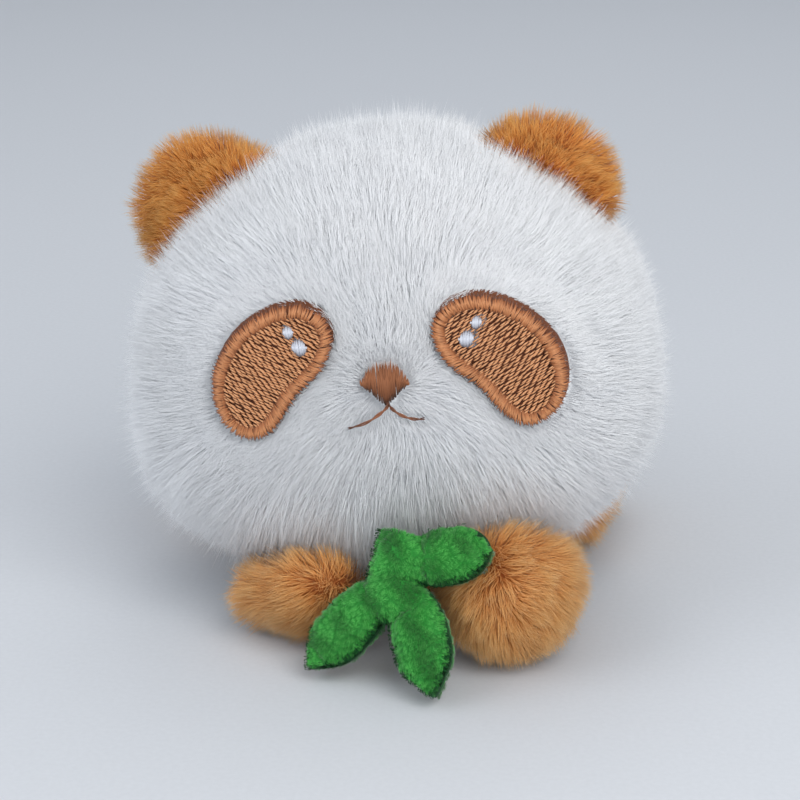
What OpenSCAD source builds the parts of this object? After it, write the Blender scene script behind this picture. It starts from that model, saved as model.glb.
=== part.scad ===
// Plush panda lying on its belly, with its chin over its front paws and a cloth sprig between them.
// Millimetres, +Z up, the face looks along -Y, and left and right are the toy's own.
// The origin is the middle of its box, on the surface that it lies on.

/* [Head] */
// Width of the head across the cheeks, pile included
head_w = 106; // [90:1:115]
// Depth of the head, front to back
head_d = 76; // [66:1:84]
// Height of the head
head_h = 85; // [76:1:90]
// Height of the head's centre above the surface
head_rise = 55; // [53:1:60]
// How much wider the cheeks are than the brow, as a share
cheeks = 0.09; // [0:0.01:0.15]
// Lean of the head towards its right shoulder, in degrees
head_lean = 6; // [0:1:8]

/* [Fabric] */
// Depth of the pile on the panels
pile = 3.5; // [2:0.5:4]
// Thickness of the knitted backing under the pile
backing = 1.5; // [1:0.1:2]
// Clearance between a panel and the stuffing inside it
fill_gap = 0.15; // [0.05:0.05:0.3]
// Clearance between pieces that move against each other
move_gap = 0.6; // [0.3:0.1:1]

/* [Face] */
// Half the length of an eye patch
patch_long = 15.3; // [12:0.1:16]
// Half the width of an eye patch
patch_wide = 9.4; // [6:0.1:10]
// Distance of each eye patch from the middle of the face
patch_side = 21.5; // [20:0.5:24]
// Height of each eye patch above the head's centre
patch_up = 3.3; // [2:0.1:6]
// Slope of each eye patch, down towards the cheek, in degrees
patch_slope = 49; // [45:1:65]
// Width of the satin border round an eye patch
border_w = 2.6; // [2:0.1:3]
// Thickness of the embroidery
thread_h = 0.8; // [0.6:0.1:1]
// Width of the nose
nose_w = 9.8; // [8:0.1:11]
// Width of the mouth
mouth_w = 15.5; // [12:0.5:18]
// How far the whole face is sewn towards the toy's left
face_aside = 1.3; // [0:0.1:2]
// How far the face is turned back from the head's lean, in degrees
face_level = 1.4; // [0:0.1:3]

/* [Ears] */
// Width of an ear at the head
ear_w = 31; // [28:1:36]
// Height of an ear from its hinge line to its top
ear_h = 16; // [14:1:20]
// Thickness of an ear
ear_t = 14; // [10:1:16]
// Distance of the left ear's hinge line from the head's axis
ear_side_left = 31.5; // [30:0.5:36]
// Distance of the right ear's hinge line from the head's axis
ear_side_right = 34.5; // [32:0.5:36]
// Height of the left ear's hinge line above the head's centre
ear_up_left = 26.5; // [26:0.5:30]
// Height of the right ear's hinge line above the head's centre
ear_up_right = 28; // [26:0.5:30]
// Tilt of an ear away from upright, in degrees
ear_tilt = 44; // [36:1:50]
// How far an ear folds forwards or backwards, in degrees
ear_fold = 15; // [0:1:20]

/* [Neck] */
// Distance of the neck seam's centre behind the head's centre
neck_back = 34.2; // [30:0.1:36]
// Distance of the neck seam's centre below the head's centre
neck_down = 32.4; // [28:0.1:34]
// Radius of the ring of stitches at the neck
neck_r = 11; // [8:1:14]
// Thickness of the neck's doubled thread
neck_thread = 1.2; // [0.8:0.1:1.6]
// How far the head turns each way, in degrees
head_turn = 8; // [0:1:10]
// How far the chin lifts off the paws, in degrees
head_nod = 10; // [0:1:12]

/* [Torso] */
// Width of the rump
rump_w = 52; // [46:1:54]
// Length of the rump
rump_l = 66; // [60:1:72]
// Height of the rump
rump_h = 47; // [40:1:50]
// Distance of the rump's centre behind the head's centre
rump_back = 36; // [34:1:40]
// Width of the flat belly panel
belly_w = 30; // [24:1:34]
// Thickness of the belly panel
belly_t = 3; // [2:0.5:4]

/* [Tail] */
// Diameter of the tail
tail_d = 18; // [14:1:20]
// How far the tail bends up or down, in degrees
tail_bend = 15; // [0:1:20]

/* [Sprig] */
// Length of each leaf of the sprig
leaf_l = 21.5; // [18:0.5:24]
// Width of each leaf
leaf_w = 10; // [8:0.5:12]
// Thickness of each cloth layer of the sprig
leaf_t = 1; // [0.8:0.1:1.2]
// Thickness of the wadding between the layers
wadding_t = 0.8; // [0.5:0.1:1.2]
// How far the sprig leans forwards from upright, in degrees
sprig_lean = 32; // [25:1:40]
// Turn of the sprig towards the toy's left, in degrees
sprig_turn = 23; // [15:1:30]

/* [Hidden] */

// The toy's left is +X, which is side 1, and its right is side -1
LEFT = 1;
RIGHT = -1;
// Larger than the toy, for half spaces
far = 200;
// Width of the seam line between two panels
seam = 0.3;

panel = pile + backing;
head_half = [head_w / 2, head_d / 2, head_h / 2];
head_at = [-0.9, 0, head_rise];
neck_at = [0, neck_back, head_rise - neck_down];
neck_slant = atan(neck_back / neck_down);

rump_half = [rump_w / 2, rump_l / 2, 27];
rump_at = [0, rump_back, rump_h - 27];
chest_half = [18.5, 24, 15];
chest_at = [0, 8, 9];
yoke_back = 14;

// Each limb is a chain of balls, [x, y, z, radius], from the body outwards, on the side it is on
arm_left_balls = [[29, -5, 11.5, 8.5], [24, -36, 14.9, 14.3]];
arm_right_balls = [[-29, -7, 11.5, 8.5], [-22, -26, 13, 12], [-14, -31, 13.6, 12.2]];
arm_split = 13;
leg_left_balls = [[36.8, 44, 12, 10], [34.6, 21, 10.5, 9.2]];
leg_right_balls = [for (b = leg_left_balls) [-b[0], b[1], b[2], b[3]]];
leg_split = 11.5;

tail_half = [tail_d / 2, tail_d * 0.4, tail_d / 2];
tail_at = [0, rump_back + rump_l / 2 + 3.5, 27];

sprig_at = [1.85, -39.61, 24.22];
stem_w = 9.4;
stem_left = -1.6;
crotch = [3.4, -10.2];
// Each leaf is [base, direction in degrees, length as a share of leaf_l]
leaves = [[[4.5, -3.2], 19, 0.8], [[1.6, -8], 239, 1], [[6.4, -7.2], 299, 1.02]];
edge_w = 0.6;
tack_at = [15.5, -0.6];

// Where the origin lies in the coordinates used below, which start under the head's centre
origin_at = [0, 9.2];

// A power that keeps the sign
function spow(v, e) = sign(v) * pow(abs(v), e);

// One level outline of a soft form, at latitude a
function soft_ring(half, up, down, round, spread, a, sides) =
    let (m = a > 0 ? up : down,
         z = half[2] * spow(sin(a), 2 / m),
         s = pow(cos(a), 2 / m),
         w = 1 - spread * z / half[2])
    [for (i = [0:sides - 1]) let (t = 360 * i / sides)
        [half[0] * s * w * spow(cos(t), 2 / round), half[1] * s * spow(sin(t), 2 / round), z]];

// A stuffed form: up, down and round say how full it is above, below and round its outline
module soft_form(half, up = 2.3, down = 2.3, round = 2.3, spread = 0, rings = 12, sides = 24) {
    last = (rings - 1) * sides;
    points = concat(
        [for (j = [1:rings - 1])
            each soft_ring(half, up, down, round, spread, 180 * j / rings - 90, sides)],
        [[0, 0, -half[2]], [0, 0, half[2]]]);
    faces = concat(
        [for (i = [0:sides - 1]) [last, i, (i + 1) % sides]],
        [for (j = [0:rings - 3], i = [0:sides - 1])
            let (a = j * sides + i, b = j * sides + (i + 1) % sides)
            each [[a, a + sides, b], [b, a + sides, b + sides]]],
        [for (i = [0:sides - 1])
            [last + 1, last - sides + (i + 1) % sides, last - sides + i]]);
    polyhedron(points, faces);
}

module in_frame() translate([-origin_at[0], -origin_at[1], 0]) children();

module half_space(axis) {
    translate([axis[0] * far / 2, axis[1] * far / 2, axis[2] * far / 2]) cube(far, center = true);
}

module slab(low_y, high_y) {
    translate([-far / 2, low_y, -far / 2]) cube([far, high_y - low_y, far]);
}

// ---- Head ----

module on_head() translate(head_at) rotate([0, -head_lean, 0]) children();

// The head's outer form, grown outwards by an amount that may be negative
module head_form(grow = 0, rings = 20, sides = 40) {
    soft_form([for (h = head_half) h + grow], 2.1, 3, 2.5, cheeks, rings, sides);
}

module head_shell() difference() {
    head_form();
    head_form(-panel);
}

// Everywhere the head goes as it turns and nods, in the torso's coordinates
module head_sweep(grow) hull() {
    for (turn = [-head_turn, 0, head_turn], nod = [0, head_nod])
        translate(neck_at) rotate([neck_slant, 0, 0]) rotate([0, 0, turn]) rotate([-neck_slant - nod, 0, 0])
            translate(-neck_at) on_head() head_form(grow, 14, 32);
}

// The face's own level, on which its outlines are drawn
module at_face() translate([face_aside, 0]) rotate(-face_level) children();

// A 2D outline on the face, pushed through the layer between two depths under the pile's tips
module on_face(top, bottom) {
    intersection() {
        difference() {
            head_form(-top);
            head_form(-bottom);
        }
        rotate([90, 0, 0]) linear_extrude(far) at_face() children();
    }
}

// The bean of an eye patch, with its hollow side towards the nose, smaller by inset
module bean(inset) {
    long = patch_long - inset;
    wide = patch_wide - inset;
    bow = 1.5;
    hollow = 2.2;
    polygon([for (t = [0:10:350]) let (x = long * cos(t))
        [x,
         bow * (0.9 - pow(cos(t), 2)) + (sin(t) < 0 ? hollow * exp(-pow((x - 1.2) / 7, 2)) : 0)
             + wide * (1 + 0.055 * cos(t)) * spow(sin(t), 0.9)]]);
}

module at_eye(side) mirror([side < 0 ? 1 : 0, 0]) translate([patch_side, patch_up]) rotate(-patch_slope)
    children();

module glints(side) mirror([side < 0 ? 1 : 0, 0]) {
    translate([16.6, 8]) rotate(-15) scale([0.8, 1]) circle(1.8, $fn = 20);
    translate([18.6, 10.9]) rotate(-15) scale([0.72, 1]) circle(1.4, $fn = 20);
}

module nose_outline(grow = 0) translate([-0.3, 1]) hull() {
    for (s = [LEFT, RIGHT]) translate([s * (nose_w / 2 - 1.7), 1.2]) circle(1.7 + grow, $fn = 24);
    translate([0, -3.2]) circle(1 + grow, $fn = 16);
}

// The mouth's line at x: a short stem's foot in the middle, and arms that level off as they go out
function mouth_y(x) = -4.6 - 4 * sin(90 * min(1, abs(x) / (mouth_w / 2)));

module mouth_outline(grow = 0) translate([-0.7, 0.6]) {
    half_line = 0.45 + grow;
    xs = [for (i = [-8:8]) (mouth_w / 2 + grow) * i / 8];
    polygon(concat([for (x = xs) [x, mouth_y(x) + half_line]],
                   [for (i = [16:-1:0]) [xs[i], mouth_y(xs[i]) - half_line]]));
}

module face_outlines() {
    for (side = [LEFT, RIGHT]) at_eye(side) bean(-fill_gap);
    nose_outline(fill_gap);
    mouth_outline(fill_gap);
}

module head_face() color("white") in_frame() on_head() difference() {
    head_shell();
    half_space([0, 1, 0]);
    on_face(-1, pile) face_outlines();
}

module head_back(side) color("whitesmoke") in_frame() on_head() difference() {
    head_shell();
    translate([0, seam, 0]) half_space([0, -1, 0]);
    translate([side * seam / 2, 0, 0]) half_space([-side, 0, 0]);
}

module head_stuffing() color("gainsboro") in_frame() on_head() head_form(-panel - fill_gap);

module eye_patch(side) color("peru") in_frame() on_head()
    on_face(pile - thread_h, pile - 0.05) at_eye(side) bean(border_w + 0.05);

module eye_border(side) color("sienna") in_frame() on_head()
    on_face(pile - thread_h - 0.4, pile - 0.05) at_eye(side) difference() {
        bean(0);
        bean(border_w);
    }

module eye_glints(side) color("lightgray") in_frame() on_head()
    on_face(pile - thread_h - 0.4, pile - thread_h - 0.03) glints(side);

module nose_embroidery() color("peru") in_frame() on_head()
    on_face(pile - thread_h - 0.4, pile - 0.05) nose_outline();

module mouth_stitch() color("saddlebrown") in_frame() on_head()
    on_face(pile - thread_h, pile - 0.05) mouth_outline();

// ---- Ears ----

function ear_out(side) = side * (side == LEFT ? ear_side_left : ear_side_right);
function ear_up(side) = side == LEFT ? ear_up_left : ear_up_right;

module on_ear(side) translate([ear_out(side), 0, ear_up(side)]) rotate([0, side * ear_tilt, 0]) children();

module from_ear(side) rotate([0, -side * ear_tilt, 0]) translate([-ear_out(side), 0, -ear_up(side)]) children();

// One ear's half, in front of its edge seam (face -1) or behind it (face 1), clear of the head as it folds
module ear_panel(side, face) color("peru") in_frame() on_head() on_ear(side) difference() {
    soft_form([ear_w / 2, ear_t / 2, ear_h], 2.1, 2.1, 2.2, 0, 12, 24);
    translate([0, face * seam / 4, 0]) half_space([0, -face, 0]);
    for (fold = [-ear_fold, 0, ear_fold])
        rotate([fold, 0, 0]) from_ear(side) head_form(move_gap, 14, 32);
}

// ---- Neck ----

// The ring of ladder stitches that joins the head to the torso
module neck_ring(grow = 0) {
    translate(neck_at) rotate([neck_slant, 0, 0]) rotate_extrude($fn = 48)
        translate([neck_r, 0]) circle(neck_thread / 2 + grow, $fn = 16);
}

module neck_seam() color("white") in_frame() neck_ring();

// ---- Torso ----

// The torso's outer form, hollowed where the head lies on it, smaller by inset
module torso_form(inset = 0) difference() {
    hull() {
        translate(rump_at) soft_form([for (h = rump_half) h - inset], 2.3, 2.5, 2.4, 0, 14, 28);
        translate(chest_at) soft_form([for (h = chest_half) h - inset], 2.3, 2.5, 2.4, 0, 10, 24);
    }
    translate([0, 0, inset]) half_space([0, 0, -1]);
    head_sweep(move_gap + inset);
    neck_ring(move_gap + inset);
}

// The flat panel's outline: a stadium that runs from the chest to the rump
module belly_outline(grow = 0) {
    r = belly_w / 2 + grow;
    front_y = chest_at[1] - 1;
    back_y = rump_back + 10;
    translate([0, front_y]) circle(r, $fn = 64);
    translate([0, back_y]) circle(r, $fn = 64);
    translate([-r, front_y]) square([2 * r, back_y - front_y]);
}

module torso_shell() difference() {
    torso_form();
    torso_form(panel);
    translate([0, 0, -1]) linear_extrude(panel + 2) belly_outline(fill_gap);
    stitches(0.1);
}

module shoulder_yoke() color("peru") in_frame() intersection() {
    torso_shell();
    slab(-far / 2, yoke_back - seam);
}

module torso_side(side) color("white") in_frame() intersection() {
    torso_shell();
    slab(yoke_back, far);
    translate([side * seam / 2, 0, 0]) half_space([side, 0, 0]);
}

module belly_panel() color("whitesmoke") in_frame() linear_extrude(belly_t) belly_outline();

module torso_stuffing() color("gainsboro") in_frame() torso_form(panel + fill_gap);

// Height of the rump's back seam at y, at the foot of the pile
function seam_z(y) =
    let (h = rump_half - [pile, pile, pile], k = abs(y - rump_back) / h[1])
    rump_at[2] + h[2] * pow(1 - pow(k, 2.3), 1 / 2.3);

// The hand stitches that close the gap the torso was stuffed through
module stitches(grow = 0) {
    for (i = [0:5]) let (y = rump_back + 8 + 2.4 * i)
        translate([0, y, seam_z(y)]) rotate([0, 90, 0])
            cylinder(h = 3 + 2 * grow, r = 0.35 + grow, center = true, $fn = 16);
}

module closing_stitches() color("lightgray") in_frame() stitches();

// ---- Arms and legs ----

// A stuffed limb round a chain of balls, pressed in by the head above it, smaller by inset
module limb_form(balls, inset = 0) difference() {
    hull() for (b = balls) translate([b[0], b[1], b[2]]) sphere(b[3] - inset, $fn = 28);
    head_sweep(move_gap + inset);
}

module arm_panel(balls, up) color("peru") in_frame() difference() {
    limb_form(balls);
    limb_form(balls, panel);
    translate([0, 0, arm_split + up * seam / 2]) half_space([0, 0, -up]);
}

module arm_stuffing(balls) color("gainsboro") in_frame() limb_form(balls, panel + fill_gap);

module leg_panel(balls, up) color("peru") in_frame() difference() {
    limb_form(balls);
    limb_form(balls, panel);
    translate([0, 0, leg_split + up * seam / 2]) half_space([0, 0, -up]);
}

module leg_stuffing(balls) color("gainsboro") in_frame() limb_form(balls, panel + fill_gap);

// ---- Tail ----

module tail_form(inset) difference() {
    translate(tail_at) soft_form([for (h = tail_half) h - inset], 2.1, 2.1, 2.1, 0, 12, 24);
    for (bend = [-tail_bend, 0, tail_bend])
        translate([0, rump_back + rump_l / 2, tail_at[2]]) rotate([bend, 0, 0])
            translate([0, -rump_back - rump_l / 2, -tail_at[2]])
                translate(rump_at) soft_form([for (h = rump_half) h + move_gap + inset], 2.3, 2.5, 2.4, 0, 14, 28);
}

module tail_cover() color("white") in_frame() difference() {
    tail_form(0);
    tail_form(backing);
}

module tail_stuffing() color("gainsboro") in_frame() tail_form(backing + fill_gap);

// ---- Sprig ----

module on_sprig() translate(sprig_at) rotate([0, 0, -sprig_turn]) rotate([90 - sprig_lean, 0, 0]) children();

// A pointed leaf between two arcs, from the origin along +X, fullest past its middle
module leaf(length, width) {
    r = (length * length + width * width) / (4 * width);
    intersection() {
        translate([length / 2, r - width / 2]) circle(r, $fn = 96);
        translate([length / 2, width / 2 - r]) circle(r, $fn = 96);
    }
    translate([length * 0.6, 0]) scale([1.35, 1]) circle(width / 2, $fn = 64);
}

// The sprig's outline, grown by an amount that may be negative
module sprig_outline(grow = 0) {
    for (b = leaves)
        translate(b[0]) rotate(b[1]) translate([-1.5 - grow, 0])
            leaf(leaf_l * b[2] + 1.5 + 2 * grow, leaf_w + 2 * grow);
    translate([stem_left - grow, crotch[1]]) square([stem_w + 2 * grow, 2 - crotch[1]]);
    translate(crotch) circle(stem_w / 2 + grow, $fn = 48);
}

// One layer of the sprig, from low to high through its thickness
module sprig_layer(low, high) translate([0, 0, low]) linear_extrude(high - low) children();

sprig_t = 2 * leaf_t + wadding_t;

module sprig_front() color("forestgreen") in_frame() on_sprig()
    sprig_layer(leaf_t + wadding_t + 0.02, sprig_t) sprig_outline();

module sprig_back() color("darkgreen") in_frame() on_sprig() sprig_layer(0, leaf_t - 0.02) sprig_outline();

module sprig_wadding() color("white") in_frame() on_sprig()
    sprig_layer(leaf_t, leaf_t + wadding_t) sprig_outline(-1);

module sprig_edging() color("darkgreen") in_frame() on_sprig()
    sprig_layer(leaf_t + 0.1, leaf_t + wadding_t - 0.1) difference() {
        sprig_outline(edge_w);
        sprig_outline(-0.4);
    }

// The tacking thread that holds the sprig against the left paw
module sprig_tack() color("green") in_frame() on_sprig()
    translate([tack_at[0], tack_at[1], -1]) cylinder(h = 0.9, r = 1, $fn = 24);

head_face();
head_back(LEFT);  // head_back_left
head_back(RIGHT);  // head_back_right
head_stuffing();
eye_patch(LEFT);  // eye_patch_left
eye_patch(RIGHT);  // eye_patch_right
eye_border(LEFT);  // eye_border_left
eye_border(RIGHT);  // eye_border_right
eye_glints(LEFT);  // eye_glints_left
eye_glints(RIGHT);  // eye_glints_right
nose_embroidery();
mouth_stitch();
ear_panel(LEFT, -1);  // ear_left_front
ear_panel(LEFT, 1);  // ear_left_back
ear_panel(RIGHT, -1);  // ear_right_front
ear_panel(RIGHT, 1);  // ear_right_back
neck_seam();
shoulder_yoke();
torso_side(LEFT);  // torso_left
torso_side(RIGHT);  // torso_right
belly_panel();
torso_stuffing();
closing_stitches();
arm_panel(arm_left_balls, 1);  // arm_left_top
arm_panel(arm_left_balls, -1);  // arm_left_under
arm_stuffing(arm_left_balls);  // arm_left_stuffing
arm_panel(arm_right_balls, 1);  // arm_right_top
arm_panel(arm_right_balls, -1);  // arm_right_under
arm_stuffing(arm_right_balls);  // arm_right_stuffing
leg_panel(leg_left_balls, 1);  // leg_left_top
leg_panel(leg_left_balls, -1);  // leg_left_under
leg_stuffing(leg_left_balls);  // leg_left_stuffing
leg_panel(leg_right_balls, 1);  // leg_right_top
leg_panel(leg_right_balls, -1);  // leg_right_under
leg_stuffing(leg_right_balls);  // leg_right_stuffing
tail_cover();
tail_stuffing();
sprig_front();
sprig_back();
sprig_wadding();
sprig_edging();
sprig_tack();
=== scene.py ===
"""Looks of a plush panda lying on its belly.

Every soft panel becomes a smooth skin taken from its CAD solid, with its pile as fibres on that skin.
The face is modelled thread by thread, and the sprig is two layers of velour with a wrapped edge.
Lengths are metres, and MM turns millimetres into them.
"""

import math

import bmesh
import bpy
import numpy as np
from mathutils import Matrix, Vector
from mathutils.bvhtree import BVHTree
from mathutils.kdtree import KDTree


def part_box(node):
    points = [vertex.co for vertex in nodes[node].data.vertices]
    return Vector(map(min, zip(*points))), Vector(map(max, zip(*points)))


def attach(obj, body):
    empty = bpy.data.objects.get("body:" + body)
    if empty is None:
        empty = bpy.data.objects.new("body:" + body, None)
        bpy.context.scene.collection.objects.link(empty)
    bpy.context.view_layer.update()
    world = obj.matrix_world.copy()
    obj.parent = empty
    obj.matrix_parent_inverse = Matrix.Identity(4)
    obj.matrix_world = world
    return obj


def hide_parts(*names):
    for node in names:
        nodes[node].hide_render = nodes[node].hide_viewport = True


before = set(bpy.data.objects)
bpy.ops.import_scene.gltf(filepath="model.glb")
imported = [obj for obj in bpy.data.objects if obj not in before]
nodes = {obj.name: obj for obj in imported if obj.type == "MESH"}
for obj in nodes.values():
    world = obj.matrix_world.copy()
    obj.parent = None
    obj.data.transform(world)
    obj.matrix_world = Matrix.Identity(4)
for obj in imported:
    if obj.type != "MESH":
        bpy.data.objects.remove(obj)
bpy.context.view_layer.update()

MM = 0.001
SEED = 7
FLOOR_GAP = 0.15 * MM
BACKING = 1.5 * MM
MOST_FIBRES = 12000
SOFT_SHADING = 0.7
BAKE_UV = "OFBake"


# ---- Camera, light and floor ----

LENS_MM = 111
SENSOR_MM = 36
CAMERA_AZIMUTH = 5
CAMERA_ELEVATION = 19
CAMERA_DISTANCE = 507.6 * MM


def aim(obj, target):
    obj.rotation_euler = (Vector(target) - obj.location).to_track_quat("-Z", "Y").to_euler()


def towards(azimuth, elevation):
    """The direction from the toy to a camera or light, with azimuth 0 in front of the face."""
    a, e = math.radians(azimuth), math.radians(elevation)
    return Vector((math.sin(a) * math.cos(e), -math.cos(a) * math.cos(e), math.sin(e)))


def add_camera(target):
    data = bpy.data.cameras.new("camera")
    data.lens = LENS_MM
    data.sensor_width = SENSOR_MM
    data.clip_start = 0.01
    data.dof.use_dof = False
    camera = bpy.data.objects.new("camera", data)
    bpy.context.scene.collection.objects.link(camera)
    camera.location = target + CAMERA_DISTANCE * towards(CAMERA_AZIMUTH, CAMERA_ELEVATION)
    aim(camera, target)
    bpy.context.scene.camera = camera


def add_light(name, azimuth, elevation, distance, size, watts, colour):
    data = bpy.data.lights.new(name, "AREA")
    data.shape = "DISK"
    data.size = size
    data.energy = watts
    data.color = colour
    light = bpy.data.objects.new(name, data)
    bpy.context.scene.collection.objects.link(light)
    light.location = Vector((0, 0, 0.05)) + distance * towards(azimuth, elevation)
    aim(light, (0, 0, 0.045))


def add_studio():
    add_light("key", 34, 40, 0.8, 0.7, 3.6, (1.0, 0.985, 0.96))
    add_light("fill", -60, 28, 0.9, 0.8, 2.4, (0.93, 0.96, 1.0))
    add_light("back", 175, 50, 0.9, 0.6, 1.1, (1.0, 1.0, 1.0))
    add_light("low_front", 8, 6, 0.9, 0.7, 1.3, (1.0, 1.0, 1.0))
    world = bpy.data.worlds.new("studio")
    world.use_nodes = True
    background = world.node_tree.nodes["Background"]
    background.inputs["Color"].default_value = (0.80, 0.84, 0.90, 1)
    background.inputs["Strength"].default_value = 0.68
    bpy.context.scene.world = world
    bpy.context.scene.view_settings.view_transform = "Standard"


def add_floor():
    """A pale floor that curves up behind the toy."""
    half_width, front, bend, radius, top = 1.6, -1.2, 0.8, 0.5, 1.6
    profile = [(front, 0.0), (bend, 0.0)]
    for i in range(1, 13):
        a = math.radians(90 * i / 12)
        profile.append((bend + radius * math.sin(a), radius * (1 - math.cos(a))))
    profile.append((bend + radius, top))
    verts = [(x, y, z) for y, z in profile for x in (-half_width, half_width)]
    faces = [(2 * i, 2 * i + 1, 2 * i + 3, 2 * i + 2) for i in range(len(profile) - 1)]
    mesh = bpy.data.meshes.new("floor")
    mesh.from_pydata(verts, [], faces)
    mesh.polygons.foreach_set("use_smooth", [True] * len(faces))
    floor = bpy.data.objects.new("floor", mesh)
    bpy.context.scene.collection.objects.link(floor)
    mesh.materials.append(grain_material("floor_paper", (0.60, 0.62, 0.65), 0.02, 900, 0.02, 0.7))


# ---- Materials ----

def srgb(*levels):
    """Linear colour from 0-255 screen levels."""
    return tuple(((v / 255 + 0.055) / 1.055) ** 2.4 for v in levels)


def start_material(name, roughness):
    material = bpy.data.materials.new(name)
    material.use_nodes = True
    tree = material.node_tree
    shader = tree.nodes["Principled BSDF"]
    shader.inputs["Roughness"].default_value = roughness
    return material, tree, shader


def colour_ramp(tree, stops):
    ramp = tree.nodes.new("ShaderNodeValToRGB")
    while len(ramp.color_ramp.elements) < len(stops):
        ramp.color_ramp.elements.new(0.5)
    for element, (place, colour) in zip(ramp.color_ramp.elements, stops):
        element.position = place
        element.color = (*colour, 1)
    return ramp


def fibre_material(name, along, across, roughness=0.6, sheen=0.0):
    """Colour along each fibre, times a shade that differs from fibre to fibre."""
    material, tree, shader = start_material(name, roughness)
    shader.inputs["Sheen Weight"].default_value = sheen
    shader.inputs["Specular IOR Level"].default_value = 0.25
    uv = tree.nodes.new("ShaderNodeUVMap")
    uv.uv_map = BAKE_UV
    split = tree.nodes.new("ShaderNodeSeparateXYZ")
    length_ramp = colour_ramp(tree, along)
    shade_ramp = colour_ramp(tree, across)
    mix = tree.nodes.new("ShaderNodeMix")
    mix.data_type = "RGBA"
    mix.blend_type = "MULTIPLY"
    mix.inputs["Factor"].default_value = 1
    tree.links.new(uv.outputs["UV"], split.inputs["Vector"])
    tree.links.new(split.outputs["Y"], length_ramp.inputs["Fac"])
    tree.links.new(split.outputs["X"], shade_ramp.inputs["Fac"])
    tree.links.new(length_ramp.outputs["Color"], mix.inputs["A"])
    tree.links.new(shade_ramp.outputs["Color"], mix.inputs["B"])
    tree.links.new(mix.outputs["Result"], shader.inputs["Base Color"])
    return material


def grain_material(name, colour, vary, scale, bump, roughness):
    """A plain cloth or paper colour, mottled by noise that also raises the surface."""
    material, tree, shader = start_material(name, roughness)
    coordinates = tree.nodes.new("ShaderNodeTexCoord")
    noise = tree.nodes.new("ShaderNodeTexNoise")
    noise.inputs["Scale"].default_value = scale
    noise.inputs["Detail"].default_value = 3
    low = tuple(max(0, c * (1 - vary)) for c in colour)
    high = tuple(min(1, c * (1 + vary)) for c in colour)
    ramp = colour_ramp(tree, [(0.3, low), (0.7, high)])
    raise_ = tree.nodes.new("ShaderNodeBump")
    raise_.inputs["Strength"].default_value = bump
    raise_.inputs["Distance"].default_value = 0.3 * MM
    tree.links.new(coordinates.outputs["Object"], noise.inputs["Vector"])
    tree.links.new(noise.outputs["Fac"], ramp.inputs["Fac"])
    tree.links.new(noise.outputs["Fac"], raise_.inputs["Height"])
    tree.links.new(ramp.outputs["Color"], shader.inputs["Base Color"])
    tree.links.new(raise_.outputs["Normal"], shader.inputs["Normal"])
    return material


WHITE_SHADES = [(0, (0.90, 0.90, 0.91)), (1, (1.0, 1.0, 1.0))]
BROWN_SHADES = [(0, (0.68, 0.65, 0.62)), (0.5, (0.94, 0.94, 0.93)), (1, (1.0, 1.0, 1.0))]
BORDER_SHADES = [(0, (0.42, 0.38, 0.35)), (0.45, (0.82, 0.81, 0.8)), (1, (1.0, 1.0, 1.0))]

# White pile: the stops run darker and a little bluer towards the root, as painted shade deep in the
# pile.
white_pile = fibre_material(
    "white_pile",
    [(0, srgb(232, 235, 239)), (0.45, srgb(246, 248, 250)), (1, srgb(252, 253, 254))],
    WHITE_SHADES, 0.65, 0.1)
# Ear and limb pile: the stops run dark at the root and light at the tip, as painted shade deep in the
# pile.
ear_pile = fibre_material(
    "ear_pile",
    [(0, srgb(156, 66, 18)), (0.4, srgb(212, 124, 48)), (0.75, srgb(238, 166, 82)),
     (1, srgb(250, 204, 130))],
    BROWN_SHADES, 0.6, 0.15)
brown_pile = fibre_material(
    "brown_pile",
    [(0, srgb(170, 86, 34)), (0.4, srgb(222, 144, 74)), (0.75, srgb(240, 178, 108)),
     (1, srgb(250, 210, 154))],
    BROWN_SHADES, 0.6, 0.15)
# Velour nap: the stops run dark at the root and light at the tip, as painted shade deep in the nap. Its
# wide shade ramp carries the sprig's painted sheen patches.
green_nap = fibre_material(
    "green_nap",
    [(0, srgb(16, 96, 30)), (0.6, srgb(44, 156, 54)), (1, srgb(112, 220, 104))],
    [(0, (0.36, 0.44, 0.38)), (0.5, (0.8, 0.84, 0.8)), (1, (1.0, 1.0, 1.0))], 0.5, 0.3)
# Fill thread: darker at both ends, as painted shade where each stitch goes into the cloth.
fill_thread = fibre_material(
    "fill_thread",
    [(0, srgb(120, 66, 34)), (0.12, srgb(192, 130, 86)), (0.5, srgb(220, 162, 116)),
     (0.85, srgb(194, 132, 88)), (1, srgb(120, 66, 34))],
    BROWN_SHADES, 0.4, 0.1)
# Border thread: darker at both ends and darkest at the outer end, as painted shade where the stitches
# go into the cloth at the border's edges.
border_thread = fibre_material(
    "border_thread",
    [(0, srgb(104, 58, 34)), (0.2, srgb(172, 108, 66)), (0.5, srgb(204, 140, 94)),
     (0.78, srgb(172, 106, 64)), (0.9, srgb(112, 60, 34)), (1, srgb(70, 36, 22))],
    BORDER_SHADES, 0.4, 0.1)
# Nose thread: darkest at the foot and lightest at the brow, as painted shade low down and a painted
# highlight along the top.
nose_thread = fibre_material(
    "nose_thread",
    [(0, srgb(66, 34, 18)), (0.2, srgb(120, 72, 44)), (0.55, srgb(154, 98, 64)),
     (0.85, srgb(138, 86, 56)), (1, srgb(176, 124, 88))],
    BROWN_SHADES, 0.4, 0.1)
# Silver thread: darker at both ends, as painted shade where each stitch goes into the cloth.
silver_thread = fibre_material(
    "silver_thread",
    [(0, srgb(150, 152, 162)), (0.5, srgb(214, 217, 226)), (1, srgb(160, 162, 172))],
    WHITE_SHADES, 0.35)
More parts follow.
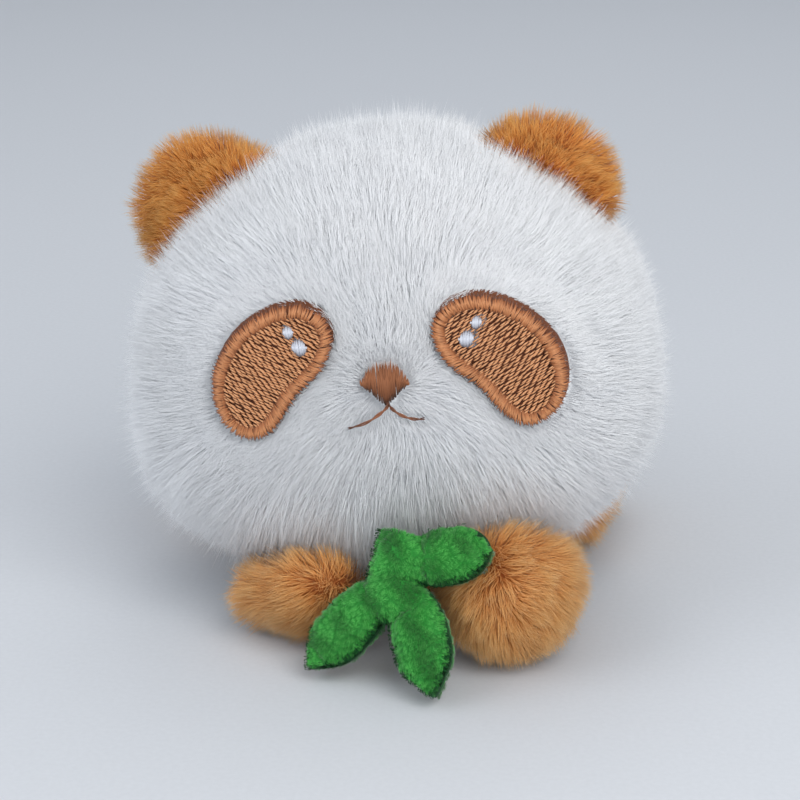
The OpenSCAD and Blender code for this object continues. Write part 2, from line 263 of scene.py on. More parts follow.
# Mouth thread: darker at both ends of each arm, as painted shade where it goes into the cloth.
mouth_thread = fibre_material(
    "mouth_thread",
    [(0, srgb(92, 58, 44)), (0.5, srgb(150, 98, 72)), (1, srgb(92, 58, 44))],
    BROWN_SHADES, 0.5)
# Overlock thread: darker at both ends, as painted shade where it wraps under the edge.
green_thread = fibre_material(
    "green_thread",
    [(0, srgb(6, 52, 22)), (0.5, srgb(20, 92, 40)), (1, srgb(8, 60, 26))],
    BROWN_SHADES, 0.5)
white_skin = grain_material("white_backing", srgb(226, 229, 232), 0.03, 1400, 0.3, 0.85)
brown_skin = grain_material("brown_backing", srgb(168, 92, 40), 0.15, 1400, 0.3, 0.85)
green_skin = grain_material("green_velour", srgb(36, 140, 46), 0.2, 2200, 0.4, 0.8)
wadding_fibre = grain_material("wadding_fibre", srgb(232, 232, 228), 0.05, 1800, 0.5, 0.9)
# The dark bed under the eye threads is painted shade between the stitches.
painted_shade_thread_bed = grain_material("painted_shade_thread_bed", srgb(112, 60, 30), 0.2, 3000, 0.5, 0.7)
silver_thread_bed = grain_material("silver_thread_bed", srgb(176, 180, 190), 0.1, 3000, 0.5, 0.5)
green_edge_bed = grain_material("green_edge_bed", srgb(10, 66, 28), 0.25, 3000, 0.5, 0.7)
sewing_thread = grain_material("sewing_thread", srgb(222, 222, 220), 0.06, 5000, 0.5, 0.6)


# ---- Meshes ----

def link(name, mesh, body, material):
    """A finished mesh as a piece that rides on a CAD body."""
    mesh.materials.clear()
    mesh.materials.append(material)
    obj = bpy.data.objects.new(name, mesh)
    bpy.context.scene.collection.objects.link(obj)
    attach(obj, body)
    return obj


def skin_mesh(names, voxel, out, relax):
    """One closed smooth mesh round these CAD nodes, moved out along its own surface."""
    bm = bmesh.new()
    for name in names:
        bm.from_mesh(nodes[name].data)
    bmesh.ops.remove_doubles(bm, verts=bm.verts, dist=0.001 * MM)
    rough = bpy.data.meshes.new("rough")
    bm.to_mesh(rough)
    bm.free()
    obj = bpy.data.objects.new("rough", rough)
    bpy.context.scene.collection.objects.link(obj)
    remesh = obj.modifiers.new("remesh", "REMESH")
    remesh.mode = "VOXEL"
    remesh.voxel_size = voxel
    smooth = obj.modifiers.new("smooth", "SMOOTH")
    smooth.iterations = relax
    if out:
        displace = obj.modifiers.new("out", "DISPLACE")
        displace.mid_level = 0
        displace.strength = out
    graph = bpy.context.evaluated_depsgraph_get()
    mesh = bpy.data.meshes.new_from_object(obj.evaluated_get(graph))
    bpy.data.objects.remove(obj)
    bpy.data.meshes.remove(rough)
    mesh.polygons.foreach_set("use_smooth", np.ones(len(mesh.polygons), bool))
    return mesh


def points_of(mesh):
    co = np.empty(len(mesh.vertices) * 3)
    mesh.vertices.foreach_get("co", co)
    return co.reshape(-1, 3)


def normals_of(mesh):
    no = np.empty(len(mesh.vertices) * 3)
    mesh.vertex_normals.foreach_get("vector", no)
    return no.reshape(-1, 3)


def unit(v):
    return v / np.maximum(np.linalg.norm(v, axis=-1, keepdims=True), 1e-9)


def tree_of(*meshes):
    """One search tree over several meshes."""
    verts, faces = [], []
    for mesh in meshes:
        first = len(verts)
        verts += [tuple(v.co) for v in mesh.vertices]
        faces += [tuple(first + i for i in p.vertices) for p in mesh.polygons]
    return BVHTree.FromPolygons(verts, faces)


def nearest(tree, points, reach):
    """For each point, the distance to the tree (reach if nothing is near), the direction away from it,
    and whether the point is inside."""
    distance = np.full(len(points), reach)
    away = np.zeros((len(points), 3))
    inside = np.zeros(len(points), bool)
    for i, p in enumerate(points):
        spot, normal, _, d = tree.find_nearest(p, reach)
        if spot is not None:
            distance[i] = d
            gap = Vector(p) - spot
            away[i] = gap
            inside[i] = gap.dot(normal) < 0
    return distance, unit(away), inside


def scatter(mesh, count, rng):
    """Random points spread evenly over a mesh, and the smooth normal at each."""
    mesh.calc_loop_triangles()
    tris = np.empty(len(mesh.loop_triangles) * 3, int)
    mesh.loop_triangles.foreach_get("vertices", tris)
    tris = tris.reshape(-1, 3)
    co, no = points_of(mesh), normals_of(mesh)
    a, b, c = co[tris[:, 0]], co[tris[:, 1]], co[tris[:, 2]]
    area = np.linalg.norm(np.cross(b - a, c - a), axis=1)
    pick = rng.choice(len(tris), count, p=area / area.sum())
    r, s = np.sqrt(rng.random(count)), rng.random(count)
    weights = np.stack([1 - r, r * (1 - s), r * s], axis=1)[:, :, None]
    corners = tris[pick]
    return (co[corners] * weights).sum(1), unit((no[corners] * weights).sum(1))


def area_of(mesh):
    return sum(p.area for p in mesh.polygons)


def spikes(name, paths, radii, across, shade, sides=3, facing=None):
    """A mesh of closed fibres that end in a point. paths is (fibres, points, 3), and radii is
    (fibres, points - 1). facing is the skin's normal under each fibre, which its shading leans to."""
    count, points = paths.shape[:2]
    rings = points - 1
    step = np.diff(paths, axis=1)
    run = np.concatenate([step[:, :1], step[:, 1:] + step[:, :-1]], axis=1)
    run = unit(run)
    side = across[:, None] - run * (run * across[:, None]).sum(-1, keepdims=True)
    side = unit(side)
    up = np.cross(run, side)
    angle = 2 * np.pi * np.arange(sides) / sides
    ring = (np.cos(angle)[:, None] * side[:, :, None] + np.sin(angle)[:, None] * up[:, :, None])
    verts = paths[:, :-1, None] + radii[:, :, None, None] * ring
    verts = np.concatenate([verts.reshape(count, rings * sides, 3), paths[:, -1:]], axis=1)
    per = rings * sides + 1
    loops, starts = list(range(sides - 1, -1, -1)), [0]
    for j in range(rings - 1):
        for a in range(sides):
            b = (a + 1) % sides
            starts.append(len(loops))
            loops += [j * sides + a, j * sides + b, (j + 1) * sides + b, (j + 1) * sides + a]
    for a in range(sides):
        starts.append(len(loops))
        loops += [(rings - 1) * sides + a, (rings - 1) * sides + (a + 1) % sides, per - 1]
    loops, starts = np.array(loops), np.array(starts)
    all_loops = (loops + per * np.arange(count)[:, None]).ravel()
    all_starts = (starts + len(loops) * np.arange(count)[:, None]).ravel()
    mesh = bpy.data.meshes.new(name)
    mesh.vertices.add(count * per)
    mesh.vertices.foreach_set("co", verts.astype(np.float32).ravel())
    mesh.loops.add(len(all_loops))
    mesh.loops.foreach_set("vertex_index", all_loops.astype(np.int32))
    mesh.polygons.add(len(all_starts))
    mesh.polygons.foreach_set("loop_start", all_starts.astype(np.int32))
    mesh.polygons.foreach_set("use_smooth", np.ones(len(all_starts), bool))
    mesh.update(calc_edges=True)
    u_step = 0.02
    u = np.where(loops == per - 1, 0, (loops % sides) * u_step / sides)
    v = np.where(loops == per - 1, rings, loops // sides) / rings
    uv = np.empty((count, len(loops), 2), np.float32)
    uv[:, :, 0] = shade[:, None] * (1 - u_step) + u
    uv[:, :, 1] = v
    layer = mesh.uv_layers.new(name=BAKE_UV)
    layer.data.foreach_set("uv", uv.ravel())
    if facing is not None:
        own = np.broadcast_to(ring, (count, rings, sides, 3)).reshape(count, rings * sides, 3)
        own = np.concatenate([own, run[:, -1:]], axis=1)
        turned = unit(SOFT_SHADING * facing[:, None] + (1 - SOFT_SHADING) * own)
        mesh.normals_split_custom_set_from_vertices(turned.reshape(-1, 3))
    return mesh


# ---- Pile ----

STRAY_SHARE = 0.07
STRAY_LEAN = 0.55
FIBRE_POINTS = 3
FIBRE_TAPER = np.array([1, 0.75])


def ripple(points, size, seed):
    """A smooth random direction field whose waves are about size long."""
    rng = np.random.default_rng(seed)
    total = np.zeros_like(points)
    for _ in range(5):
        wave = unit(rng.normal(size=3)) * 2 * np.pi / (size * rng.uniform(0.7, 1.5))
        push = unit(rng.normal(size=3))
        total += np.sin(points @ wave + rng.uniform(0, 2 * np.pi))[:, None] * push
    return total / 2.2


def tangent(directions, normals):
    return unit(directions - normals * (directions * normals).sum(-1, keepdims=True))


class Coat:
    """How one kind of pile grows."""

    def __init__(self, length, width, per_mm2, lean, clump, clump_size, wild, material, slot,
                 tone_and_sheen_patchiness=0.2):
        self.length = length * MM
        self.width = width * MM
        self.per_m2 = per_mm2 * 1e6
        self.lean = lean
        self.clump = clump
        self.clump_size = clump_size * MM
        self.wild = wild
        self.material = material
        self.slot = slot
        self.tone_and_sheen_patchiness = tone_and_sheen_patchiness


def grow(name, body, mesh, coat, flow, seed, shape=None, blocked=None):
    """Pile all over a skin, as pieces of at most MOST_FIBRES fibres. flow gives the way the pile lies,
    shape may change its direction, length and lean, and blocked says which fibres are left out."""
    rng = np.random.default_rng(SEED * 1000 + seed)
    count = int(area_of(mesh) * coat.per_m2)
    roots, normals = scatter(mesh, count, rng)
    ways = tangent(flow(roots, normals), normals)
    length = np.ones(count)
    lean = np.ones(count)
    if shape is not None:
        ways, length, lean, keep = shape(roots, normals, ways)
        roots, normals, ways = roots[keep], normals[keep], ways[keep]
        length, lean = length[keep], lean[keep]
        count = len(roots)
    soft = ripple(roots, 9 * MM, seed + 11)
    ways = tangent(ways + coat.wild * soft + 0.6 * coat.wild * rng.normal(size=(count, 3)), normals)
    length = coat.length * length * rng.uniform(0.78, 1.12, count)
    length *= 1 + 0.12 * ripple(roots, 5 * MM, seed + 12)[:, 0]
    lean = lean * np.where(rng.random(count) < STRAY_SHARE, STRAY_LEAN, 1)
    first = np.radians(coat.lean[0] * lean * rng.uniform(0.75, 1.25, count))[:, None]
    last = np.radians(coat.lean[1] * lean * rng.uniform(0.85, 1.15, count))[:, None]
    start = roots - 0.25 * MM * normals
    bend = roots + (normals * np.cos(first) + ways * np.sin(first)) * length[:, None] * 0.5
    end = bend + (normals * np.cos(last) + ways * np.sin(last)) * length[:, None] * 0.5
    clumps = max(1, int(area_of(mesh) / (coat.clump_size ** 2)))
    heads = rng.choice(count, min(clumps, count), replace=False)
    tree = KDTree(len(heads))
    for i in heads:
        tree.insert(roots[i], int(i))
    tree.balance()
    mine = np.array([tree.find(p)[1] for p in roots])
    pull = (coat.clump * rng.uniform(0.4, 1.2, count))[:, None]
    end += pull * (end[mine] + 0.3 * (roots - roots[mine]) - end)
    s = np.linspace(0, 1, FIBRE_POINTS)[None, :, None]
    paths = (1 - s) ** 2 * start[:, None] + 2 * s * (1 - s) * bend[:, None] + s ** 2 * end[:, None]
    if blocked is not None:
        keep = ~blocked(paths, rng)
        paths, normals, ways, roots = paths[keep], normals[keep], ways[keep], roots[keep]
        count = len(paths)
    paths[:, :, 2] = np.maximum(paths[:, :, 2], FLOOR_GAP)
    radii = coat.width / 2 * FIBRE_TAPER[None] * rng.uniform(0.8, 1.2, (count, 1))
    # Large patches of fibre tone; on the sprig's nap they are strong enough to be painted sheen.
    tone_and_sheen_patches = coat.tone_and_sheen_patchiness * ripple(roots, 7 * MM, seed + 13)[:, 1]
    shade = np.clip(0.5 + 0.22 * rng.normal(size=count) + tone_and_sheen_patches, 0, 1)
    side = np.cross(normals, ways)
    parts = max(1, math.ceil(count / MOST_FIBRES))
    for i, part in enumerate(np.array_split(np.arange(count), parts)):
        piece = f"{name}_pile" if parts == 1 else f"{name}_pile_{i + 1}"
        fibres = spikes(piece, paths[part], radii[part], side[part], shade[part], facing=normals[part])
        link(piece, fibres, body, coat.material)


def away_from(point):
    """Pile that lies away from a point."""
    centre = np.array(point)
    return lambda roots, normals: unit(roots - centre)


# ---- Head ----

def middle(node):
    low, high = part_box(node)
    return (low + high) / 2


GLINTS_UP = 9.3 * MM
left_glints, right_glints = middle("eye_glints_left"), middle("eye_glints_right")
FACE_X = Vector((left_glints.x - right_glints.x, 0, left_glints.z - right_glints.z)).normalized()
FACE_Z = Vector((-FACE_X.z, 0, FACE_X.x))
head_middle = (left_glints + right_glints) / 2 - GLINTS_UP * FACE_Z
head_middle.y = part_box("head_face")[1].y

FACE_NODES = ["eye_patch_left", "eye_patch_right", "eye_border_left", "eye_border_right"]
face_tree = tree_of(*[nodes[n].data for n in FACE_NODES])
inner_tree = tree_of(*[nodes[n].data for n in FACE_NODES if "border" not in n])

NOSE_AT = (-0.1, 1.65)
NOSE_HALF = 4.5
NOSE_FOOT = -5.0
MOUTH_ARMS = [((0.1, -2.4), (0.2, -3.4), (-1.4, -4.7), (-4.2, -6.6), (-8.0, -7.5)),
              ((0.3, -2.9), (0.9, -4.0), (2.8, -5.5), (5.0, -6.3), (7.0, -6.2))]


def nose_top(u):
    """Height of the nose's rounded brow at u, from -1 to 1 across it, in millimetres."""
    return 3.9 - 4.4 * np.abs(u) ** 2.8


def nose_low(u):
    return NOSE_FOOT + 4.3 * np.abs(u)


def mouth_route(line, points=60):
    """A smooth line through the corners of one arm of the mouth."""
    line = np.array(line)
    t = np.linspace(0, len(line) - 1, points)
    route = np.stack([np.interp(t, np.arange(len(line)), line[:, k]) for k in (0, 1)], axis=1)
    reach = points // 8
    held = np.pad(route, ((reach, reach), (0, 0)), mode="reflect", reflect_type="odd")
    kernel = np.ones(2 * reach + 1) / (2 * reach + 1)
    return t, np.stack([np.convolve(held[:, k], kernel, "valid") for k in (0, 1)], axis=1)


mouth_points = np.concatenate([mouth_route(line)[1] for line in MOUTH_ARMS])


def face_places(points):
    """Places across and up the face, in millimetres."""
    gap = points - np.array(head_middle)
    return np.stack([gap @ np.array(FACE_X), gap @ np.array(FACE_Z)], axis=-1) / MM


def on_nose_or_mouth(points, margin):
    """Whether points lie in front of the nose or within margin millimetres of the mouth's line."""
    flat = face_places(points)
    u = (flat[..., 0] - NOSE_AT[0]) / (NOSE_HALF + margin)
    z = flat[..., 1] - NOSE_AT[1]
    nose = (np.abs(u) < 1) & (z < nose_top(u) + margin) & (z > nose_low(u) - margin)
    gap = np.full(u.shape, np.inf)
    for x, up in mouth_points[::3]:
        gap = np.minimum(gap, np.hypot(flat[..., 0] - x, flat[..., 1] - up))
    return (nose | (gap < margin + 0.35)) & (points[..., 1] < head_middle.y)


EAR_SHRINK = 3.0 * MM
EAR_ROOT = 3.5 * MM


def ear_skin_mesh(side):
    """An ear's skin: inside the CAD ear by its pile's depth, but reaching down into the head's pile."""
    mesh = skin_mesh([f"ear_{side}_front", f"ear_{side}_back"], 1.0 * MM, 0, 6)
    co, no = points_of(mesh), normals_of(mesh)
    down = np.array(head_middle)
    down = unit(down - co)
    rooted = np.clip((no * down).sum(1, keepdims=True) * 1.6, 0, 1)
    co += -EAR_SHRINK * no * (1 - rooted) + EAR_ROOT * down * rooted
    mesh.vertices.foreach_set("co", co.astype(np.float32).ravel())
    mesh.update()
    return mesh


ear_skins = {s: ear_skin_mesh(s) for s in ("left", "right")}
ears_tree = tree_of(*ear_skins.values())

edge_coat = Coat(4.4, 0.1, 13.0, (22, 50), 0.15, 1.0, 0.35, white_pile, "white_pile")
white_coat = Coat(9.6, 0.115, 11.0, (48, 78), 0.18, 1.2, 0.34, white_pile, "white_pile")
ear_coat = Coat(5.6, 0.11, 19, (6, 32), 0.28, 1.3, 1.2, ear_pile, "brown_pile")
brown_coat = Coat(7.4, 0.12, 14.0, (28, 58), 0.5, 1.9, 0.75, brown_pile, "brown_pile")

FACE_REACH = 12 * MM
BARE_MARGIN = 0.5 * MM
PARTING = 4.5 * MM
EDGE_REACH = 4.0 * MM
TUCKED = 1.3 * MM
FRONT = -0.2
BACKWARDS = Vector((0, 1, 0))
RAY_REACH = 12 * MM
EAR_CLEAR = 9 * MM
JOWL_RIGHT, JOWL_LEFT = 0.3, 0.05
MUZZLE = 22


def head_flow(roots, normals):
    """The pile lies away from the nose, and the pile under it hangs."""
    front = np.array(head_middle - Vector((0, 60 * MM, 0)) - 2 * MM * FACE_Z)
    ways = unit(roots - front)
    below = np.clip((head_middle.z - roots[:, 2]) / (30 * MM), 0, 1)
    ways[:, 2] -= 0.5 * below
    return ways


def head_shape(roots, normals, ways):
    """Pile stays off the embroidery, parts round it and is shorter beside it."""
    distance, away, _ = nearest(face_tree, roots, FACE_REACH)
    away = tangent(away + 1e-6, normals)
    near = np.exp(-(distance / PARTING) ** 2)[:, None]
    into = np.minimum(0, (ways * away).sum(1, keepdims=True))
    ways = tangent(ways - 1.05 * into * away * near + 0.12 * away * near, normals)
    length = 0.4 + 0.6 * np.clip((distance - BARE_MARGIN) / (8 * MM), 0, 1) ** 0.8
    flat = face_places(roots)
    to_mouth = np.hypot(flat[:, 0], (flat[:, 1] + 3) * 0.8)
    length *= 0.5 + 0.5 * np.clip(to_mouth / 16, 0, 1)
    to_ear = nearest(ears_tree, roots, EAR_CLEAR)[0]
    length *= 0.45 + 0.55 * to_ear / EAR_CLEAR
    jowl = np.clip(np.abs(flat[:, 0]) / 40 - 0.3, 0, 1) * np.clip((4 - flat[:, 1]) / 26, 0, 1)
    jowl *= np.where(flat[:, 0] < 0, JOWL_RIGHT, JOWL_LEFT)
    length *= 1 + jowl
    fringe = np.exp(-((flat[:, 1] + 29) / 8) ** 2) * np.exp(-(flat[:, 0] / 30) ** 2)
    length *= 1 + 0.6 * fringe
    length *= 1 - 0.22 * np.clip((flat[:, 0] - 28) / 20, 0, 1)
    lean = (1 - 0.1 * near[:, 0]) * (1 - 0.35 * jowl) * (1 - 0.22 * fringe)
    keep = (distance > BARE_MARGIN) & ~on_nose_or_mouth(roots, 0.1)
    return ways, length, lean, keep


def head_blocked(paths, rng):
    """Fibres that would cross the embroidery or grow into an ear."""
    out = np.zeros(len(paths), bool)
    near_face = nearest(face_tree, paths[:, 0], FACE_REACH)[0] < FACE_REACH
    for i in np.flatnonzero(near_face):
        chance = rng.random()
        for p in paths[i, 1:]:
            if inner_tree.ray_cast(Vector(p), BACKWARDS, RAY_REACH)[0] is not None:
                out[i] = chance < 0.985
            elif face_tree.ray_cast(Vector(p), BACKWARDS, RAY_REACH)[0] is not None:
                out[i] |= chance < 0.86
    flat = face_places(paths[:, 0])
    in_front = paths[:, 0, 1] < head_middle.y
    close = np.flatnonzero((np.hypot(flat[:, 0], flat[:, 1] + 4) < MUZZLE) & in_front)
    share = np.array([0.25, 0.5, 0.75, 1.0])[None, None, :, None]
    start, step = paths[close, :-1, None], np.diff(paths[close], axis=1)[:, :, None]
    along = (start + share * step).reshape(len(close), -1, 3)
    over = on_nose_or_mouth(along, 0.1).any(axis=1)
    out[close] |= over & (rng.random(len(close)) < 0.96)
    for j in range(2, paths.shape[1]):
        distance, _, inside = nearest(ears_tree, paths[:, j], 4 * MM)
        out |= inside & (distance > 0.6 * MM)
    return out


def edge_shape(roots, normals, ways):
    """Short pile that closes up to the embroidery."""
    distance, away, _ = nearest(face_tree, roots, EDGE_REACH)
    raised = roots + TUCKED * np.array(FACE_Z)
    free = ~on_nose_or_mouth(raised, 0)
    muzzle = on_nose_or_mouth(roots, 2.4) & free
    near_eye = (distance < EDGE_REACH) & free
    for i in np.flatnonzero(near_eye):
        start = Vector((raised[i, 0], FRONT, raised[i, 2]))
        near_eye[i] = face_tree.ray_cast(start, BACKWARDS)[0] is None
    ways = tangent(ways + 0.5 * tangent(away + 1e-6, normals), normals)
    return ways, np.ones(len(roots)), np.ones(len(roots)), muzzle | near_eye


def edge_blocked(paths, rng):
    """Only a few of the short fibres may lie over the embroidery."""
    over = on_nose_or_mouth(paths[:, -1], 0) & (rng.random(len(paths)) < 0.85)
    for i in range(len(paths)):
        start = Vector((paths[i, -1, 0], FRONT, paths[i, -1, 2]))
        over[i] |= inner_tree.ray_cast(start, BACKWARDS)[0] is not None
    return over


def make_head():
    mesh = skin_mesh(["head_stuffing"], 1.8 * MM, BACKING, 8)
    skin = link("head_skin", mesh, "head", white_skin)
    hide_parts("head_face", "head_back_left", "head_back_right", "head_stuffing")
    grow("head", "head", mesh, white_coat, head_flow, 1, head_shape, head_blocked)
    grow("head_edges", "head", mesh, edge_coat, head_flow, 2, edge_shape, edge_blocked)


def make_ear(side):
    mesh = ear_skins[side]
    body = f"ear_{side}"
    skin = link(f"{body}_skin", mesh, body, brown_skin)
    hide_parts(f"{body}_front", f"{body}_back")
    low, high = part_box(f"{body}_front")
    base = (low + high) / 2
    base = base + 0.45 * (head_middle - base)
    base.y = high.y

    def off_the_head(roots, normals, ways):
        """No pile on the side that is sewn to the head."""
        rooted = (normals * unit(np.array(head_middle) - roots)).sum(1)
        return ways, np.ones(len(roots)), np.ones(len(roots)), rooted < 0.55

    grow(body, body, mesh, ear_coat, away_from(base), 20 + len(side), off_the_head)


# ---- Embroidery ----

PATCH_LONG, PATCH_WIDE, PATCH_SLOPE, PATCH_BOW, PATCH_HOLLOW = 15.3, 9.4, 49, 1.5, 2.2
PATCH_SIDE, PATCH_UP = 21.5, 3.3
BORDER_WIDE = 2.6
THREAD_R = 0.17 * MM
FILL_R = 0.175 * MM
SATIN_R = 0.19 * MM
MOUTH_R = 0.2 * MM
OVERLOCK_THREADS = 2600
OVERLOCK_R = 0.07 * MM
FACE_DEPTH = 4.9 * MM


def bean(inset, t):
    """The outline of an eye patch at angle t, in millimetres, with its hollow side towards the nose."""
    long, wide = PATCH_LONG - inset, PATCH_WIDE - inset
    s = np.sin(t)
    x = long * np.cos(t)
    y = PATCH_BOW * (0.9 - np.cos(t) ** 2) + PATCH_HOLLOW * (s < 0) * np.exp(-((x - 1.2) / 7) ** 2)
    y += wide * (1 + 0.055 * np.cos(t)) * np.sign(s) * np.abs(s) ** 0.9
    return np.stack([x, y], axis=-1)


def at_eye(side, flat):
    """Flat points of a patch, put on the face's own plane on that side, in millimetres."""
    a = math.radians(-PATCH_SLOPE)
    x = PATCH_SIDE + flat[..., 0] * math.cos(a) - flat[..., 1] * math.sin(a)
    z = PATCH_UP + flat[..., 0] * math.sin(a) + flat[..., 1] * math.cos(a)
    return np.stack([side * x, z], axis=-1)


def on_face(flat, lift, tree):
    """Flat points of the face, in millimetres, put on a tree's surface and lifted off it."""
    shape = flat.shape[:-1]
    out = []
    for (x, z), up in zip(flat.reshape(-1, 2), np.broadcast_to(lift, shape).ravel()):
        start = head_middle + FACE_X * float(x * MM) + FACE_Z * float(z * MM)
        start.y = FRONT
        spot, normal = tree.ray_cast(start, BACKWARDS)[:2]
        if spot is None:
            spot, normal = tree.find_nearest(start)[:2]
            spot = Vector((start.x, spot.y, start.z))
        out.append(spot - Vector((0, float(up), 0)))
    return np.array(out).reshape(*shape, 3)


def stitches(name, body, material, flat, lift, radius, tree, rng, sides=5):
    """Threads along flat paths of the face: a row of flat is one thread's points."""
    paths = on_face(flat, lift, tree)
    count, points = flat.shape[:2]
    across = np.cross(unit(paths[:, -1] - paths[:, 0]), np.array([0, -1.0, 0]))
    swell = np.sin(np.linspace(0.18, 1, points - 1) * np.pi * 0.9) ** 0.4
    radii = radius * swell[None] * rng.uniform(0.85, 1.15, (count, 1))
    shade = np.clip(rng.normal(0.62, 0.25, count), 0, 1)
    return link(name, spikes(name, paths, radii, unit(across), shade, sides), body, material)


def face_surface():
    """The front of the embroidery and a smooth front round it, for the threads to lie on."""
    sewn = FACE_NODES + ["nose_embroidery", "mouth_stitch"]
    front = skin_mesh(["head_stuffing"], 1.8 * MM, FACE_DEPTH, 4)
    return tree_of(*[nodes[n].data for n in sewn], front)


surface_tree = face_surface()


def make_border(side_name, side, rng):
    """Satin stitches across the border, in two layers that differ a little in slant."""
    pitch, layers = 0.29, 2
    flat = []
    for layer in range(layers):
        t = np.linspace(0, 2 * np.pi, 721)[:-1]
        edge = bean(BORDER_WIDE / 2, t)
        run = np.concatenate([[0], np.cumsum(np.linalg.norm(np.diff(edge, axis=0), axis=1))])
        marks = np.arange(0, run[-1], pitch) + layer * pitch / 2
        ts = np.interp(marks, run, t)
        slant = rng.normal(0, 0.02, len(ts))
        outer = bean(-0.15, ts + slant) + rng.normal(0, 0.24, (len(ts), 2))
        inner = bean(BORDER_WIDE + 0.25, ts - slant) + rng.normal(0, 0.15, (len(ts), 2))
        s = np.linspace(0, 1, 6)[None, :, None]
        flat.append(inner[:, None] * (1 - s) + outer[:, None] * s)
    flat = at_eye(side, np.concatenate(flat))
    arch = np.sin(np.linspace(0, 1, flat.shape[1]) * np.pi) * 0.6 * MM
    stitches(f"eye_border_threads_{side_name}", "head", border_thread, flat,
             np.broadcast_to(arch, flat.shape[:2]), THREAD_R, surface_tree, rng)


def inside_bean(flat, inset):
    """Whether flat points of a patch's own plane lie in its outline."""
    t = np.linspace(0, 2 * np.pi, 181)[:-1]
    edge = bean(inset, t)
    x, y = flat[..., 0], flat[..., 1]
    odd = np.zeros(x.shape, bool)
    for a, b in zip(edge, np.roll(edge, -1, axis=0)):
        crosses = (a[1] > y) != (b[1] > y)
        rise = b[1] - a[1] if abs(b[1] - a[1]) > 1e-9 else 1e-9
        odd ^= crosses & (x < (b[0] - a[0]) * (y - a[1]) / rise + a[0])
    return odd


def make_fill(side_name, side, rng):
    """Rows of running stitches that step like bricks across the middle of a patch."""
    row, stitch, turn = 0.36, 1.75, math.radians(80)
    along = np.array([math.cos(turn), math.sin(turn)])
    over = np.array([-along[1], along[0]])
    flat = []
    for i in np.arange(-46, 47):
        for j in np.arange(-11, 12):
            start = over * row * i + along * stitch * (j + (i % 3) / 3)
            start = start + rng.normal(0, 0.09, 2)
            s = np.linspace(0.02, 0.98, 6)[:, None]
            flat.append(start + along * stitch * s + over * rng.normal(0, 0.08))
    flat = np.array(flat)
    keep = inside_bean(flat, BORDER_WIDE - 0.4).sum(1) >= 4
    flat = at_eye(side, flat[keep])
    arch = np.sin(np.linspace(0, 1, 6) * np.pi) ** 0.7 * 0.3 * MM - 0.08 * MM
    stitches(f"eye_fill_threads_{side_name}", "head", fill_thread, flat,
             np.broadcast_to(arch, flat.shape[:2]), FILL_R, surface_tree, rng)


def make_glints(side_name, side, rng):
    """Silver satin dots of upright threads."""
    flat = []
    for x, z, r, squeeze in ((15.9, 8.85, 1.7, 0.8), (17.9, 11.7, 1.35, 0.72)):
        for u in np.arange(-r * squeeze, r * squeeze + 0.01, 0.26):
            half = r * math.sqrt(max(0.02, 1 - (u / (r * squeeze)) ** 2))
            s = np.linspace(-1, 1, 6)
            flat.append(np.stack([side * (x + u + 0.12 * s * half), z + s * half], axis=-1))
    flat = np.array(flat) + rng.normal(0, 0.03, (len(flat), 1, 2))
    arch = np.sin(np.linspace(0, 1, 6) * np.pi) ** 0.6 * 0.45 * MM + 0.25 * MM
    stitches(f"eye_glint_threads_{side_name}", "head", silver_thread, flat,
             np.broadcast_to(arch, flat.shape[:2]), SATIN_R, surface_tree, rng)


def make_nose(rng):
    """Upright satin stitches in two layers: a rounded, ragged brow over a pointed foot."""
    flat = []
    for layer in range(2):
        for u in np.linspace(-0.97, 0.97, 33):
            top = nose_top(u) + rng.normal(0, 0.26)
            low = nose_low(u) + rng.normal(0, 0.12)
            if layer and abs(u) < 0.75:
                low += rng.uniform(0, 0.5) * (top - low)
            s = np.linspace(0, 1, 6)
            x = NOSE_AT[0] + NOSE_HALF * (u + 0.015 * layer) + rng.normal(0, 0.06) + 0.25 * u * s
            flat.append(np.stack([x, NOSE_AT[1] + low + (top - low) * s], axis=-1))
    flat = np.array(flat)
    arch = np.sin(np.linspace(0, 1, 6) * np.pi) ** 0.8 * 0.5 * MM - 0.05 * MM
    piece = stitches("nose_threads", "head", nose_thread, flat,
                     np.broadcast_to(arch, flat.shape[:2]), SATIN_R, surface_tree, rng)
    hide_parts("nose_embroidery")


def make_mouth(rng):
    """A two-ply thread: a short stem under the nose and an arm to each side."""
    flat, lifts = [], []
    for line in MOUTH_ARMS:
        t, route = mouth_route(line)
        run = unit(np.gradient(route, axis=0))
        over = np.stack([-run[:, 1], run[:, 0]], axis=1)
        for ply in (0, 1):
            twist = t * 3.1 + ply * np.pi
            flat.append(route + over * (0.17 * np.cos(twist))[:, None])
            lifts.append((0.45 + 0.15 * np.sin(twist)) * MM)
    piece = stitches("mouth_threads", "head", mouth_thread, np.array(flat),
                     np.array(lifts), MOUTH_R, surface_tree, rng, 6)
    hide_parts("mouth_stitch")


def dress(node, material):
    """A carried-over CAD piece gets its own material."""
    nodes[node].data.materials.clear()
    nodes[node].data.materials.append(material)


def make_face():
    rng = np.random.default_rng(SEED * 1000 + 500)
    for name, side in (("left", 1), ("right", -1)):
        make_fill(name, side, rng)
        make_border(name, side, rng)
        make_glints(name, side, rng)
        # The patch and border beds are dark as painted shade between the threads.
        dress(f"eye_patch_{name}", painted_shade_thread_bed)
        dress(f"eye_border_{name}", painted_shade_thread_bed)
        dress(f"eye_glints_{name}", silver_thread_bed)
    make_nose(rng)
    make_mouth(rng)


# ---- Limbs, torso and tail ----

def brushed(*way):
    """Pile that lies one way all over."""
    return lambda roots, normals: np.tile(np.array(way, float), (len(roots), 1))


